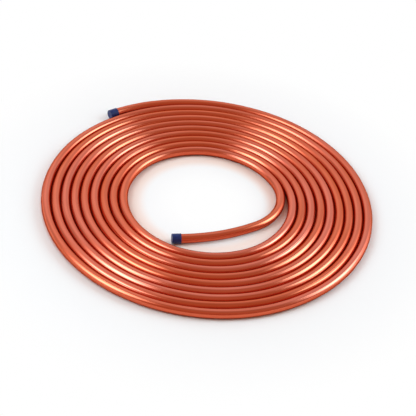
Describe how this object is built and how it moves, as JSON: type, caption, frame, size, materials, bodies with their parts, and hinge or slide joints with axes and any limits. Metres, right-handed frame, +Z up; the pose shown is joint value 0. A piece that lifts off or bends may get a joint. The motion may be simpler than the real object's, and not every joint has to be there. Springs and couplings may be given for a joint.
{
  "type": "copper tube coil",
  "caption": "Flat spiral coil of soft copper tube lying on its side, with a free outer end, an inner end bent into the eye and a push-on plastic cap on each end.",
  "frame": {"origin": "middle of the spiral, at the level of the floor that the coil lies on", "axes": "+Z up through the eye; seen from above the tube winds inward clockwise"},
  "size_m": [0.6889, 0.7035, 0.0217],
  "materials": {
    "copper": "bright drawn copper",
    "cap_plastic": "moulded, dark blue"
  },
  "bodies": {
    "root": {"copper_tube": "copper", "outer_end_cap": "cap_plastic", "inner_end_cap": "cap_plastic"}
  },
  "joints": []
}
